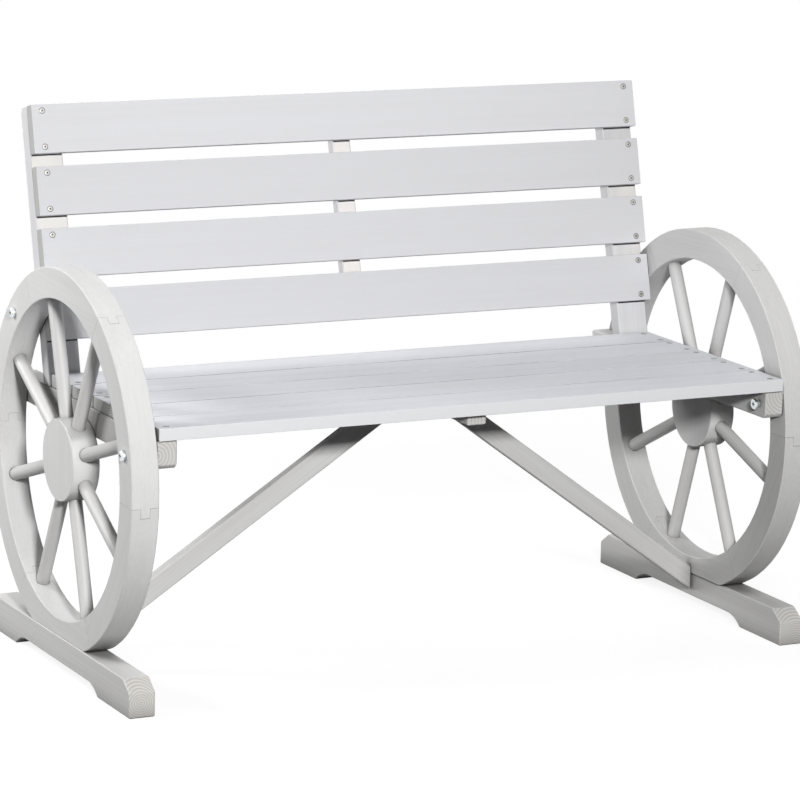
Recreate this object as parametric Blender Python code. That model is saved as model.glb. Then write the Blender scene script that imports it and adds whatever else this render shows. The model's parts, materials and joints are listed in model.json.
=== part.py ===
"""Wagon wheel bench: a two-seat slatted garden bench carried by two spoked wooden wheels.

Frame: metres, +X along the bench to the sitter's left, +Y to the back, +Z up.
The origin lies on the floor, under the middle of the bench.
Left and right are named as seen from the front.
"""
import math

import bmesh
import bpy
from mathutils import Matrix, Vector

# Clearance left between pieces that touch.
FIT_GAP = 0.0003

# Wheels: six felloes with bridle joints, eight round spokes and a solid hub each.
WHEEL_SPACING = 1.005
WHEEL_THICK = 0.041
WHEEL_OUTER_R = 0.2775
RIM_RADIAL = 0.0455
RIM_FLAT_DEPTH = 0.0205
RIM_CHAMFER = 0.0012
FELLOE_COUNT = 6
FELLOE_STEPS = 11
TONGUE_LENGTH = 0.0125
TONGUE_THICK = 0.0137
HUB_R = 0.060
HUB_CHAMFER = 0.0012
HUB_SIDES = 48
SPOKE_COUNT = 8
SPOKE_DIAMETER = 0.020
SPOKE_SIDES = 20
HUB_CORE_R = 0.040
SPOKE_IN_RIM = 0.021
# How far each wheel is turned: a spoke clears the front bolt, and a rim joint follows that spoke.
LEFT_SPOKE_ABOVE_BOLT = math.radians(3.9)
RIGHT_SPOKE_ABOVE_BOLT = math.radians(12.9)
LEFT_JOINT_PAST_SPOKE = math.radians(19.7)
RIGHT_JOINT_PAST_SPOKE = math.radians(24.1)

# Feet: one sled-like foot under each wheel, a little outside it, arched between two floor pads.
FOOT_LENGTH = 0.555
FOOT_WIDTH = 0.039
FOOT_OUTSET = 0.0017
FOOT_HEIGHT = 0.0525
FOOT_END_RISE = 0.036
FOOT_END_SLOPE = 0.024
FOOT_PAD_LENGTH = 0.1175
ARCH_HEIGHT = 0.015
ARCH_CURVE_RUN = 0.040
ARCH_CURVE_STEPS = 7

# Seat: slats screwed across two side rails and a middle batten.
SEAT_TOP = 0.406
SEAT_SLAT_COUNT = 5
SEAT_SLAT_WIDTH = 0.079
SEAT_SLAT_GAP = 0.0025
SEAT_SLAT_THICK = 0.018
SEAT_END_GAP = 0.0025
RAIL_WIDTH = 0.030
RAIL_HEIGHT = 0.040
RAIL_PAST_BOLT = 0.0185
RAIL_SETBACK = 0.004
RAIL_END_CHAMFER = 0.006
BATTEN_WIDTH = 0.030
BATTEN_THICK = 0.017
SEAT_BATTEN_INSET = 0.018

# Back: two leaning posts on the rails, four slats and a middle batten.
BACK_LEAN = math.radians(13.8)
POST_WIDTH = 0.050
POST_DEPTH = 0.025
POST_TOP_CHAMFER = 0.006
LOWEST_SLAT_RISE = 0.067
BACK_SLAT_COUNT = 4
BACK_SLAT_WIDTH = 0.072
BACK_SLAT_GAP = 0.019
BACK_SLAT_THICK = 0.018
BACK_BATTEN_INSET = 0.012

# Braces from the foot of each rim up to the middle batten under the seat.
BRACE_HEIGHT = 0.030
BRACE_DEPTH = 0.017
BRACE_FOOT_RISE = 0.0265
BRACE_FOOT_Y = -0.009
BRACE_TOP_Y = -0.060

# Bolts through the rims into the rails, screws through the rims into the posts.
POST_SCREW_ANGLE = math.radians(46.4)
POST_SCREW_BITE = 0.031
BOLT_DIAMETER = 0.007
BOLT_TIP_GAP = 0.006
HEAD_DIAMETER = 0.016
HEAD_HEIGHT = 0.006
HEAD_RIM = 0.0025
HEAD_CROWN_DIAMETER = 0.008
# The sleeve nuts have thin flat heads. The left ones are drawn up nearer to their rail.
LEFT_NUT_STAND = 0.0015
RIGHT_NUT_STAND = 0.0075
NUT_HEAD_HEIGHT = 0.003
NUT_HEAD_EASE = 0.0008
NUT_WALL = 0.0014
NUT_SETBACK = 0.002
NUT_END_WALL = 0.004
RECESS_SPAN = 0.0072
RECESS_WIDTH = 0.0019
RECESS_DEPTH = 0.0022
TURNED_SIDES = 20
DOME_STEPS = 4

# Eased edges.
SLAT_EASE = 0.0009
SLAT_EASE_SEGMENTS = 2
FRAME_EASE = 0.0014
SHARP_ANGLE = math.radians(30.0)
FLAT_ANGLE = math.radians(0.5)

# Places worked out from the sizes above.
RIM_INNER_R = WHEEL_OUTER_R - RIM_RADIAL
RIM_MID_R = WHEEL_OUTER_R - RIM_RADIAL / 2
WHEEL_INNER_X = WHEEL_SPACING / 2
WHEEL_MID_X = WHEEL_INNER_X + WHEEL_THICK / 2
WHEEL_OUTER_X = WHEEL_INNER_X + WHEEL_THICK
FOOT_OUTER_X = WHEEL_OUTER_X + FOOT_OUTSET
FOOT_INNER_X = FOOT_OUTER_X - FOOT_WIDTH
WHEEL_Z = FOOT_HEIGHT + FIT_GAP + WHEEL_OUTER_R - RIM_FLAT_DEPTH
FRAME_HALF = WHEEL_INNER_X - FIT_GAP
SEAT_HALF = WHEEL_INNER_X - SEAT_END_GAP
SEAT_UNDER = SEAT_TOP - SEAT_SLAT_THICK
SEAT_DEPTH = SEAT_SLAT_COUNT * SEAT_SLAT_WIDTH + (SEAT_SLAT_COUNT - 1) * SEAT_SLAT_GAP
RAIL_TOP = SEAT_UNDER - FIT_GAP
RAIL_INNER_X = FRAME_HALF - RAIL_WIDTH
BOLT_Z = RAIL_TOP - RAIL_HEIGHT / 2
BOLT_Y = math.sqrt(RIM_MID_R ** 2 - (BOLT_Z - WHEEL_Z) ** 2)
FRONT_BOLT_ANGLE = math.atan2(BOLT_Z - WHEEL_Z, -BOLT_Y)
POST_SCREW_Y = RIM_MID_R * math.cos(POST_SCREW_ANGLE)
POST_SCREW_Z = WHEEL_Z + RIM_MID_R * math.sin(POST_SCREW_ANGLE)
POST_UP = Vector((0.0, math.sin(BACK_LEAN), math.cos(BACK_LEAN)))
POST_REAR = Vector((0.0, math.cos(BACK_LEAN), -math.sin(BACK_LEAN)))
POST_FOOT_Z = RAIL_TOP + FIT_GAP
POST_FOOT_DROP = (POST_SCREW_Z - POST_FOOT_Z) * math.tan(BACK_LEAN)
POST_FOOT_Y = POST_SCREW_Y - POST_FOOT_DROP - POST_DEPTH / 2 / math.cos(BACK_LEAN)
POST_FOOT = Vector((0.0, POST_FOOT_Y, POST_FOOT_Z))
POST_LENGTH = (LOWEST_SLAT_RISE + BACK_SLAT_COUNT * BACK_SLAT_WIDTH
               + (BACK_SLAT_COUNT - 1) * BACK_SLAT_GAP)
SEAT_REAR_Y = POST_FOOT_Y - FIT_GAP
SEAT_FRONT_Y = SEAT_REAR_Y - SEAT_DEPTH
RAIL_FRONT_Y = min(-BOLT_Y - RAIL_PAST_BOLT, SEAT_FRONT_Y + RAIL_SETBACK)
RAIL_REAR_Y = max(BOLT_Y + RAIL_PAST_BOLT, POST_FOOT_Y + POST_DEPTH / math.cos(BACK_LEAN))
BATTEN_UNDER = RAIL_TOP - BATTEN_THICK
BATTEN_SIDE_X = BATTEN_WIDTH / 2
HEAD_SEAT_X = WHEEL_OUTER_X + FIT_GAP
NUT_BORE_R = BOLT_DIAMETER / 2 + FIT_GAP
NUT_BARREL_R = NUT_BORE_R + NUT_WALL
NUT_BARREL_LENGTH = RAIL_WIDTH - NUT_SETBACK + min(LEFT_NUT_STAND, RIGHT_NUT_STAND)
BOLT_LENGTH = HEAD_SEAT_X - RAIL_INNER_X - NUT_END_WALL - BOLT_TIP_GAP
POST_SCREW_LENGTH = HEAD_SEAT_X - FRAME_HALF + POST_SCREW_BITE

SIDES = {"left": -1, "right": 1}
NUT_SEATS = {"left": RAIL_INNER_X - LEFT_NUT_STAND, "right": RAIL_INNER_X - RIGHT_NUT_STAND}
SPOKE_STARTS = {"left": FRONT_BOLT_ANGLE - LEFT_SPOKE_ABOVE_BOLT,
                "right": FRONT_BOLT_ANGLE - RIGHT_SPOKE_ABOVE_BOLT}
JOINT_STARTS = {"left": SPOKE_STARTS["left"] + LEFT_JOINT_PAST_SPOKE,
                "right": SPOKE_STARTS["right"] + RIGHT_JOINT_PAST_SPOKE}

# Colour, roughness and metallic value of each finish.
FINISHES = {
    "seat_whitewash": ((0.60, 0.61, 0.63), 0.62, 0.0),
    "back_whitewash": ((0.70, 0.71, 0.73), 0.62, 0.0),
    "wheel_whitewash": ((0.68, 0.68, 0.67), 0.65, 0.0),
    "foot_whitewash": ((0.58, 0.58, 0.57), 0.68, 0.0),
    "frame_whitewash": ((0.60, 0.60, 0.58), 0.66, 0.0),
    "zinc_plate": ((0.78, 0.81, 0.84), 0.28, 1.0),
}


def clear_scene():
    """Remove every object that the scene starts with."""
    for obj in list(bpy.data.objects):
        bpy.data.objects.remove(obj, do_unlink=True)


def make_finish(name):
    """One Principled material for a finish."""
    colour, roughness, metallic = FINISHES[name]
    material = bpy.data.materials.new(name)
    material.use_nodes = True
    shader = material.node_tree.nodes["Principled BSDF"]
    shader.inputs["Base Color"].default_value = (*colour, 1.0)
    shader.inputs["Roughness"].default_value = roughness
    shader.inputs["Metallic"].default_value = metallic
    return material


def finish(name):
    """The material of that name, made on first use."""
    return bpy.data.materials.get(name) or make_finish(name)


def make_empty(name, parent=None, location=(0.0, 0.0, 0.0)):
    """An empty that carries a group of pieces."""
    empty = bpy.data.objects.new(name, None)
    bpy.context.collection.objects.link(empty)
    empty.parent = parent
    empty.location = location
    return empty


def bake_mesh(name, bm):
    """Close a bmesh into a smooth-shaded mesh with sharp corners kept."""
    bmesh.ops.recalc_face_normals(bm, faces=bm.faces)
    mesh = bpy.data.meshes.new(name)
    bm.to_mesh(mesh)
    bm.free()
    mesh.shade_smooth()
    mesh.set_sharp_from_angle(angle=SHARP_ANGLE)
    return mesh


def place(name, mesh, finish_name, parent, location=(0.0, 0.0, 0.0), rotation=(0.0, 0.0, 0.0)):
    """Link one piece under its parent."""
    obj = bpy.data.objects.new(name, mesh)
    bpy.context.collection.objects.link(obj)
    obj.parent = parent
    obj.location = location
    obj.rotation_euler = rotation
    if not mesh.materials:
        mesh.materials.append(finish(finish_name))
    return obj


def place_cutter(name, mesh, parent):
    """A cutting shape that is never part of the bench."""
    cutter = bpy.data.objects.new(name, mesh)
    bpy.context.collection.objects.link(cutter)
    cutter.parent = parent
    cutter.hide_render = True
    cutter.display_type = "WIRE"
    return cutter


def ease(obj, width, segments=1):
    """Break the sharp edges of a piece."""
    bevel = obj.modifiers.new("eased_edges", "BEVEL")
    bevel.width = width
    bevel.segments = segments
    bevel.limit_method = "ANGLE"
    bevel.angle_limit = SHARP_ANGLE
    return bevel


def cut(obj, cutter):
    """Subtract a cutter from a piece."""
    boolean = obj.modifiers.new(cutter.name, "BOOLEAN")
    boolean.operation = "DIFFERENCE"
    boolean.solver = "EXACT"
    boolean.object = cutter


def prism(name, front, back):
    """A closed solid between two outlines that have the same number of points."""
    bm = bmesh.new()
    near = [bm.verts.new(point) for point in front]
    far = [bm.verts.new(point) for point in back]
    bm.faces.new(near)
    bm.faces.new(reversed(far))
    count = len(near)
    for i in range(count):
        j = (i + 1) % count
        bm.faces.new((near[i], far[i], far[j], near[j]))
    return bake_mesh(name, bm)


def side_prism(name, outline, x_low, x_high):
    """An outline in Y and Z, extruded along X."""
    return prism(name, [(x_low, y, z) for y, z in outline], [(x_high, y, z) for y, z in outline])


def board(name, low, high):
    """A plain board between two corners."""
    outline = [(low[1], low[2]), (high[1], low[2]), (high[1], high[2]), (low[1], high[2])]
    return side_prism(name, outline, low[0], high[0])


def add_rod(bm, radius, start, end, axis_matrix, sides):
    """Add a closed round rod along the local X axis of a matrix."""
    length = end - start
    middle = Matrix.Translation(((start + end) / 2, 0.0, 0.0))
    along_x = Matrix.Rotation(math.pi / 2, 4, "Y")
    bmesh.ops.create_cone(bm, cap_ends=True, segments=sides, radius1=radius, radius2=radius,
                          depth=length, matrix=axis_matrix @ middle @ along_x)


def turned(name, profile, sides=TURNED_SIDES):
    """A solid of revolution about X from (x, radius) points that start and end on the axis."""
    bm = bmesh.new()
    points = [bm.verts.new((x, radius, 0.0)) for x, radius in profile]
    edges = [bm.edges.new(pair) for pair in zip(points, points[1:])]
    bmesh.ops.spin(bm, geom=points + edges, cent=(0.0, 0.0, 0.0), axis=(1.0, 0.0, 0.0),
                   angle=2 * math.pi, steps=sides, use_merge=True)
    bmesh.ops.remove_doubles(bm, verts=bm.verts, dist=FIT_GAP / 100)
    return bake_mesh(name, bm)


def side_range(side, inner_x, outer_x):
    """The low and high X of a piece that spans inner_x to outer_x on one side."""
    return sorted((SIDES[side] * inner_x, SIDES[side] * outer_x))


def felloe_layers():
    """Cross-sections of a felloe's cheeks, slot walls and tongue, as (x, radius) loops."""
    half = WHEEL_THICK / 2
    slot = TONGUE_THICK / 2 + FIT_GAP
    tongue = TONGUE_THICK / 2
    low, high, ease_r = RIM_INNER_R, WHEEL_OUTER_R, RIM_CHAMFER
    cheek = [(half, low + ease_r), (half - ease_r, low), (slot, low),
             (slot, high), (half - ease_r, high), (half, high - ease_r)]

    def strip(x_low, x_high):
        return [(x_low, low), (x_high, low), (x_high, high), (x_low, high)]

    def mirrored(loop):
        return [(-x, radius) for x, radius in loop]

    return [mirrored(cheek), strip(-slot, -tongue), strip(-tongue, tongue), strip(tongue, slot), cheek]


def felloe_stations():
    """Angles along a felloe, each with the layers that fill the step after it."""
    cheeks, everything, tongue_only = (0, 4), (0, 1, 2, 3, 4), (2,)
    joint = FIT_GAP / 2 / RIM_MID_R
    tongue = TONGUE_LENGTH / RIM_MID_R
    span = 2 * math.pi / FELLOE_COUNT
    slot_end = tongue + joint + FIT_GAP / RIM_MID_R
    step = (span - joint - slot_end) / FELLOE_STEPS
    stations = [(joint, cheeks)]
    stations += [(slot_end + i * step, everything) for i in range(FELLOE_STEPS)]
    return stations + [(span - joint, tongue_only), (span + tongue, ())]


def felloe_mesh():
    """A felloe blank: slotted at its first end, with a tongue at its last one."""
    layers = felloe_layers()
    stations = felloe_stations()
    faces = {}

    def toggle(loop):
        key = frozenset(loop)
        if faces.pop(key, None) is None:
            faces[key] = loop

    for step, (_, filled) in enumerate(stations):
        for layer in filled:
            section = layers[layer]
            toggle([(step, *point) for point in section])
            toggle([(step + 1, *point) for point in section])
            for a, b in zip(section, section[1:] + section[:1]):
                toggle([(step, *a), (step + 1, *a), (step + 1, *b), (step, *b)])
    bm = bmesh.new()
    corners = {}
    for loop in faces.values():
        for corner in loop:
            if corner not in corners:
                step, x, radius = corner
                angle = stations[step][0]
                corners[corner] = bm.verts.new((x, radius * math.cos(angle), radius * math.sin(angle)))
        bm.faces.new([corners[corner] for corner in loop])
    bmesh.ops.recalc_face_normals(bm, faces=bm.faces)
    bmesh.ops.dissolve_limit(bm, angle_limit=FLAT_ANGLE, verts=bm.verts, edges=bm.edges)
    return bake_mesh("felloe", bm)


def hub_mesh():
    """A solid round hub with eased rims."""
    half = WHEEL_THICK / 2
    profile = [(half, 0.0), (half, HUB_R - HUB_CHAMFER), (half - HUB_CHAMFER, HUB_R)]
    profile += [(-x, radius) for x, radius in reversed(profile)]
    return turned("hub", profile, HUB_SIDES)


def spoke_angles(side):
    """Angles of one wheel's spokes, from the one by the front bolt downwards and round."""
    pitch = 2 * math.pi / SPOKE_COUNT
    return [SPOKE_STARTS[side] + i * pitch for i in range(SPOKE_COUNT)]


def spoke_matrix(angle):
    """A matrix whose X axis points along a spoke."""
    return Matrix.Rotation(angle, 4, "X") @ Matrix.Rotation(math.pi / 2, 4, "Z")


def spoke_mesh():
    """A round dowel from its hub socket to its rim socket, along +Y."""
    bm = bmesh.new()
    start = HUB_CORE_R + FIT_GAP
    end = RIM_INNER_R + SPOKE_IN_RIM - FIT_GAP
    add_rod(bm, SPOKE_DIAMETER / 2, start, end, spoke_matrix(0.0), SPOKE_SIDES)
    return bake_mesh("spoke", bm)


def socket_cutter(side, wheel):
    """The spoke sockets of one wheel, in its hub and its felloes."""
    bm = bmesh.new()
    for angle in spoke_angles(side):
        add_rod(bm, SPOKE_DIAMETER / 2 + FIT_GAP, HUB_CORE_R, RIM_INNER_R + SPOKE_IN_RIM,
                spoke_matrix(angle), SPOKE_SIDES)
    return place_cutter(f"{side}_spoke_sockets", bake_mesh(f"{side}_spoke_sockets", bm), wheel)


def flat_cutter(side, wheel):
    """The block that levels the bottom of a rim for its foot."""
    flat_z = RIM_FLAT_DEPTH - WHEEL_OUTER_R
    mesh = board(f"{side}_rim_flat", (-WHEEL_THICK, -WHEEL_OUTER_R, -2 * WHEEL_OUTER_R),
                 (WHEEL_THICK, WHEEL_OUTER_R, flat_z))
    return place_cutter(f"{side}_rim_flat", mesh, wheel)


def hole_cutter(name, parent, holes):
    """Holes along X: each is (radius, first x, last x, y, z)."""
    bm = bmesh.new()
    for radius, x_first, x_last, y, z in holes:
        low, high = sorted((x_first, x_last))
        add_rod(bm, radius, low, high, Matrix.Translation((0.0, y, z)), TURNED_SIDES)
    return place_cutter(name, bake_mesh(name, bm), parent)


def fastener_points():
    """Places of the fasteners through a rim, in Y and Z."""
    return {"front_rail": (-BOLT_Y, BOLT_Z), "rear_rail": (BOLT_Y, BOLT_Z),
            "post": (POST_SCREW_Y, POST_SCREW_Z)}


def fastener_holes(side, bench):
    """Clearance holes of one side: shanks through the rim, and their seats in rails and post."""
    sign = SIDES[side]
    shank_r = BOLT_DIAMETER / 2 + FIT_GAP
    barrel_r = NUT_BARREL_R + FIT_GAP
    barrel_end = NUT_SEATS[side] + NUT_BARREL_LENGTH + FIT_GAP
    screw_end = HEAD_SEAT_X - POST_SCREW_LENGTH - FIT_GAP
    outside = HEAD_SEAT_X + HEAD_HEIGHT
    inside = NUT_SEATS[side] - NUT_HEAD_HEIGHT
    shanks = []
    barrels = []
    for place_name, (y, z) in fastener_points().items():
        if place_name == "post":
            shanks.append((shank_r, sign * screw_end, sign * outside, y, z))
        else:
            shanks.append((shank_r, sign * (barrel_end - FIT_GAP), sign * outside, y, z))
            barrels.append((barrel_r, sign * inside, sign * barrel_end, y, z))
    return (hole_cutter(f"{side}_shank_holes", bench, shanks),
            hole_cutter(f"{side}_barrel_holes", bench, barrels))


def build_wheel(side, bench, shank_holes):
    """One wheel of felloes, spokes and hub, under its own empty."""
    wheel = make_empty(f"{side}_wheel", bench, (SIDES[side] * WHEEL_MID_X, 0.0, WHEEL_Z))
    sockets = socket_cutter(side, wheel)
    flat = flat_cutter(side, wheel)
    felloe = felloe_mesh()
    for i in range(FELLOE_COUNT):
        turn = JOINT_STARTS[side] + i * 2 * math.pi / FELLOE_COUNT
        piece = place(f"{side}_felloe_{i + 1}", felloe, "wheel_whitewash", wheel, rotation=(turn, 0.0, 0.0))
        cut(piece, flat)
        cut(piece, sockets)
        cut(piece, shank_holes)
    hub = place(f"{side}_hub", hub_mesh(), "wheel_whitewash", wheel)
    cut(hub, sockets)
    spoke = spoke_mesh()
    for i, angle in enumerate(spoke_angles(side)):
        place(f"{side}_spoke_{i + 1}", spoke, "wheel_whitewash", wheel, rotation=(angle, 0.0, 0.0))


def foot_outline():
    """Side view of a foot: sloped ends, two pads and a shallow arch with curved ends."""
    end = FOOT_LENGTH / 2
    pad = end - FOOT_PAD_LENGTH
    radius = (ARCH_CURVE_RUN ** 2 + ARCH_HEIGHT ** 2) / (2 * ARCH_HEIGHT)
    sweep = math.asin(ARCH_CURVE_RUN / radius)
    curve = []
    for i in range(ARCH_CURVE_STEPS + 1):
        turn = sweep * (1 - i / ARCH_CURVE_STEPS)
        run = ARCH_CURVE_RUN - radius * math.sin(turn)
        curve.append((pad - run, ARCH_HEIGHT - radius * (1 - math.cos(turn))))
    half = [(end - FOOT_END_SLOPE, FOOT_HEIGHT), (end, FOOT_END_RISE), (end, 0.0)] + curve
    return half + [(-y, z) for y, z in reversed(half)]


def build_foot(side, bench):
    """The foot under one wheel."""
    mesh = side_prism(f"{side}_foot", foot_outline(), *side_range(side, FOOT_INNER_X, FOOT_OUTER_X))
    ease(place(f"{side}_foot", mesh, "foot_whitewash", bench), FRAME_EASE)


def build_rail(side, bench, barrel_holes, shank_holes):
    """A side rail under the seat, bolted to the rim at both ends."""
    under = RAIL_TOP - RAIL_HEIGHT
    outline = [(RAIL_FRONT_Y, RAIL_TOP), (RAIL_FRONT_Y, under + RAIL_END_CHAMFER),
               (RAIL_FRONT_Y + RAIL_END_CHAMFER, under), (RAIL_REAR_Y - RAIL_END_CHAMFER, under),
               (RAIL_REAR_Y, under + RAIL_END_CHAMFER), (RAIL_REAR_Y, RAIL_TOP)]
    mesh = side_prism(f"{side}_side_rail", outline, *side_range(side, RAIL_INNER_X, FRAME_HALF))
    rail = place(f"{side}_side_rail", mesh, "frame_whitewash", bench)
    ease(rail, FRAME_EASE)
    cut(rail, barrel_holes)
    cut(rail, shank_holes)


def post_outline():
    """Side view of a leaning post: level foot, square top with an eased rear corner."""
    rear_foot = POST_FOOT + Vector((0.0, POST_DEPTH / math.cos(BACK_LEAN), 0.0))
    front_top = POST_FOOT + POST_UP * POST_LENGTH
    rear_top = front_top + POST_REAR * POST_DEPTH
    corners = [POST_FOOT, rear_foot, rear_top - POST_UP * POST_TOP_CHAMFER,
               rear_top - POST_REAR * POST_TOP_CHAMFER, front_top]
    return [(corner.y, corner.z) for corner in corners]


def build_post(side, bench, shank_holes):
    """A back post that stands on its rail and is screwed to the rim."""
    span = side_range(side, FRAME_HALF - POST_WIDTH, FRAME_HALF)
    post = place(f"{side}_back_post", side_prism(f"{side}_back_post", post_outline(), *span),
                 "back_whitewash", bench)
    ease(post, FRAME_EASE)
    cut(post, shank_holes)


def leaning_board(name, bench, half_length, rise, width, offset, thick, ease_width, segments):
    """A board in the plane of the back: rise along the posts, offset behind their front."""
    corners = []
    for along, behind in ((rise, offset), (rise, offset + thick), (rise + width, offset + thick),
                          (rise + width, offset)):
        corner = POST_FOOT + POST_UP * along + POST_REAR * behind
        corners.append((corner.y, corner.z))
    mesh = side_prism(name, corners, -half_length, half_length)
    ease(place(name, mesh, "back_whitewash", bench), ease_width, segments)


def build_back(bench):
    """The back slats from the lowest up, and the batten that ties them in the middle."""
    for i in range(BACK_SLAT_COUNT):
        rise = LOWEST_SLAT_RISE + i * (BACK_SLAT_WIDTH + BACK_SLAT_GAP)
        leaning_board(f"back_slat_{i + 1}", bench, FRAME_HALF, rise, BACK_SLAT_WIDTH,
                      -FIT_GAP - BACK_SLAT_THICK, BACK_SLAT_THICK, SLAT_EASE, SLAT_EASE_SEGMENTS)
    length = POST_LENGTH - LOWEST_SLAT_RISE - 2 * BACK_BATTEN_INSET
    leaning_board("back_batten", bench, BATTEN_WIDTH / 2, LOWEST_SLAT_RISE + BACK_BATTEN_INSET, length,
                  0.0, BATTEN_THICK, FRAME_EASE, 1)


def build_seat(bench):
    """The seat slats from the front to the back, and the batten under their middle."""
    for i in range(SEAT_SLAT_COUNT):
        front = SEAT_FRONT_Y + i * (SEAT_SLAT_WIDTH + SEAT_SLAT_GAP)
        mesh = board(f"seat_slat_{i + 1}", (-SEAT_HALF, front, SEAT_UNDER),
                     (SEAT_HALF, front + SEAT_SLAT_WIDTH, SEAT_TOP))
        ease(place(f"seat_slat_{i + 1}", mesh, "seat_whitewash", bench), SLAT_EASE, SLAT_EASE_SEGMENTS)
    mesh = board("seat_batten", (-BATTEN_SIDE_X, SEAT_FRONT_Y + SEAT_BATTEN_INSET, BATTEN_UNDER),
                 (BATTEN_SIDE_X, SEAT_REAR_Y - SEAT_BATTEN_INSET, RAIL_TOP))
    ease(place("seat_batten", mesh, "frame_whitewash", bench), FRAME_EASE)


def build_brace(side, bench):
    """A brace from the rim's inner face, low by the foot, to the corner of the seat and its batten."""
    foot_x = FRAME_HALF
    top_x = BATTEN_SIDE_X + FIT_GAP
    slope = (BATTEN_UNDER - BRACE_FOOT_RISE) / (foot_x - top_x)
    rise = BRACE_HEIGHT * math.hypot(1.0, slope)
    seat_x = foot_x - (RAIL_TOP - BRACE_FOOT_RISE - rise) / slope
    outline = [(foot_x, BRACE_FOOT_RISE), (foot_x, BRACE_FOOT_RISE + rise), (seat_x, RAIL_TOP),
               (top_x, RAIL_TOP), (top_x, BATTEN_UNDER)]
    drift = (BRACE_TOP_Y - BRACE_FOOT_Y) / (foot_x - top_x)
    half_depth = BRACE_DEPTH / 2 * math.hypot(1.0, drift)
    near = []
    far = []
    for x, z in outline:
        middle_y = BRACE_FOOT_Y + drift * (foot_x - x)
        near.append((SIDES[side] * x, middle_y - half_depth, z))
        far.append((SIDES[side] * x, middle_y + half_depth, z))
    brace = place(f"{side}_brace", prism(f"{side}_brace", near, far), "frame_whitewash", bench)
    ease(brace, FRAME_EASE)


def head_profile():
    """Profile of a domed head above x = 0, from its rim to its crown on the axis."""
    radius = HEAD_DIAMETER / 2
    crown = HEAD_CROWN_DIAMETER / 2
    profile = [(0.0, radius)]
    for i in range(DOME_STEPS + 1):
        turn = math.pi / 2 * i / DOME_STEPS
        profile.append((HEAD_RIM + (HEAD_HEIGHT - HEAD_RIM) * math.sin(turn),
                        crown + (radius - crown) * math.cos(turn)))
    return profile + [(HEAD_HEIGHT, 0.0)]


def bolt_mesh(name, length):
    """A domed head with a round shank that points to -X."""
    shank = BOLT_DIAMETER / 2
    return turned(name, [(-length, 0.0), (-length, shank), (0.0, shank)] + head_profile())


def nut_mesh():
    """A sleeve nut: flat head and a bored barrel that points to -X."""
    end = -NUT_BARREL_LENGTH
    radius = HEAD_DIAMETER / 2
    barrel = [(-NUT_END_WALL, 0.0), (-NUT_END_WALL, NUT_BORE_R), (end, NUT_BORE_R),
              (end, NUT_BARREL_R), (0.0, NUT_BARREL_R)]
    head = [(0.0, radius), (NUT_HEAD_HEIGHT - NUT_HEAD_EASE, radius),
            (NUT_HEAD_HEIGHT, radius - NUT_HEAD_EASE), (NUT_HEAD_HEIGHT, 0.0)]
    return turned("sleeve_nut", barrel + head)


def recess_cutter(heads, bench):
    """Cross recesses in the crowns of all heads: each is (crown point, outward sign)."""
    bm = bmesh.new()
    arm = RECESS_SPAN / 2
    half = RECESS_WIDTH / 2
    quarter = [(arm, -half), (arm, half), (half, half)]
    outline = []
    for turn in range(4):
        cos_t, sin_t = round(math.cos(turn * math.pi / 2)), round(math.sin(turn * math.pi / 2))
        outline += [(a * cos_t - b * sin_t, a * sin_t + b * cos_t) for a, b in quarter]
    for (x, y, z), outward in heads:
        near = [bm.verts.new((x - outward * RECESS_DEPTH, y + a, z + b)) for a, b in outline]
        far = [bm.verts.new((x + outward * RECESS_DEPTH, y + a, z + b)) for a, b in outline]
        bm.faces.new(near)
        bm.faces.new(reversed(far))
        for i, vert in enumerate(near):
            j = (i + 1) % len(near)
            bm.faces.new((vert, far[i], far[j], near[j]))
    return place_cutter("cross_recesses", bake_mesh("cross_recesses", bm), bench)


def build_fasteners(bench):
    """Rail bolts with sleeve nuts, and post screws, each with a cross recess."""
    bolt = bolt_mesh("rail_bolt", BOLT_LENGTH)
    screw = bolt_mesh("post_screw", POST_SCREW_LENGTH)
    nut = nut_mesh()
    pieces = []
    heads = []

    def add(name, mesh, point, outward, height=HEAD_HEIGHT):
        turn = 0.0 if outward > 0 else math.pi
        pieces.append(place(name, mesh, "zinc_plate", bench, point, (0.0, 0.0, turn)))
        heads.append(((point[0] + outward * height, point[1], point[2]), outward))

    for side, sign in SIDES.items():
        for place_name, (y, z) in fastener_points().items():
            outer = (sign * HEAD_SEAT_X, y, z)
            if place_name == "post":
                add(f"{side}_post_screw", screw, outer, sign)
            else:
                add(f"{side}_{place_name}_bolt", bolt, outer, sign)
                inner = (sign * NUT_SEATS[side], y, z)
                add(f"{side}_{place_name}_nut", nut, inner, -sign, NUT_HEAD_HEIGHT)
    recesses = recess_cutter(heads, bench)
    for piece in pieces:
        cut(piece, recesses)


def build_bench():
    """The whole bench, from the wheels inwards."""
    clear_scene()
    bench = make_empty("bench")
    for side in SIDES:
        shank_holes, barrel_holes = fastener_holes(side, bench)
        build_wheel(side, bench, shank_holes)
        build_foot(side, bench)
        build_rail(side, bench, barrel_holes, shank_holes)
        build_post(side, bench, shank_holes)
        build_brace(side, bench)
    build_seat(bench)
    build_back(bench)
    build_fasteners(bench)


build_bench()
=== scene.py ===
"""Looks of the wagon wheel bench: whitewashed softwood, zinc fasteners, floor, light and camera.

Frame: metres, +X along the bench, +Y to the back, +Z up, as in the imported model.
"""
import json
import math
import random
from typing import NamedTuple

import bmesh
import bpy
import numpy as np
from mathutils import Matrix, Vector


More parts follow.
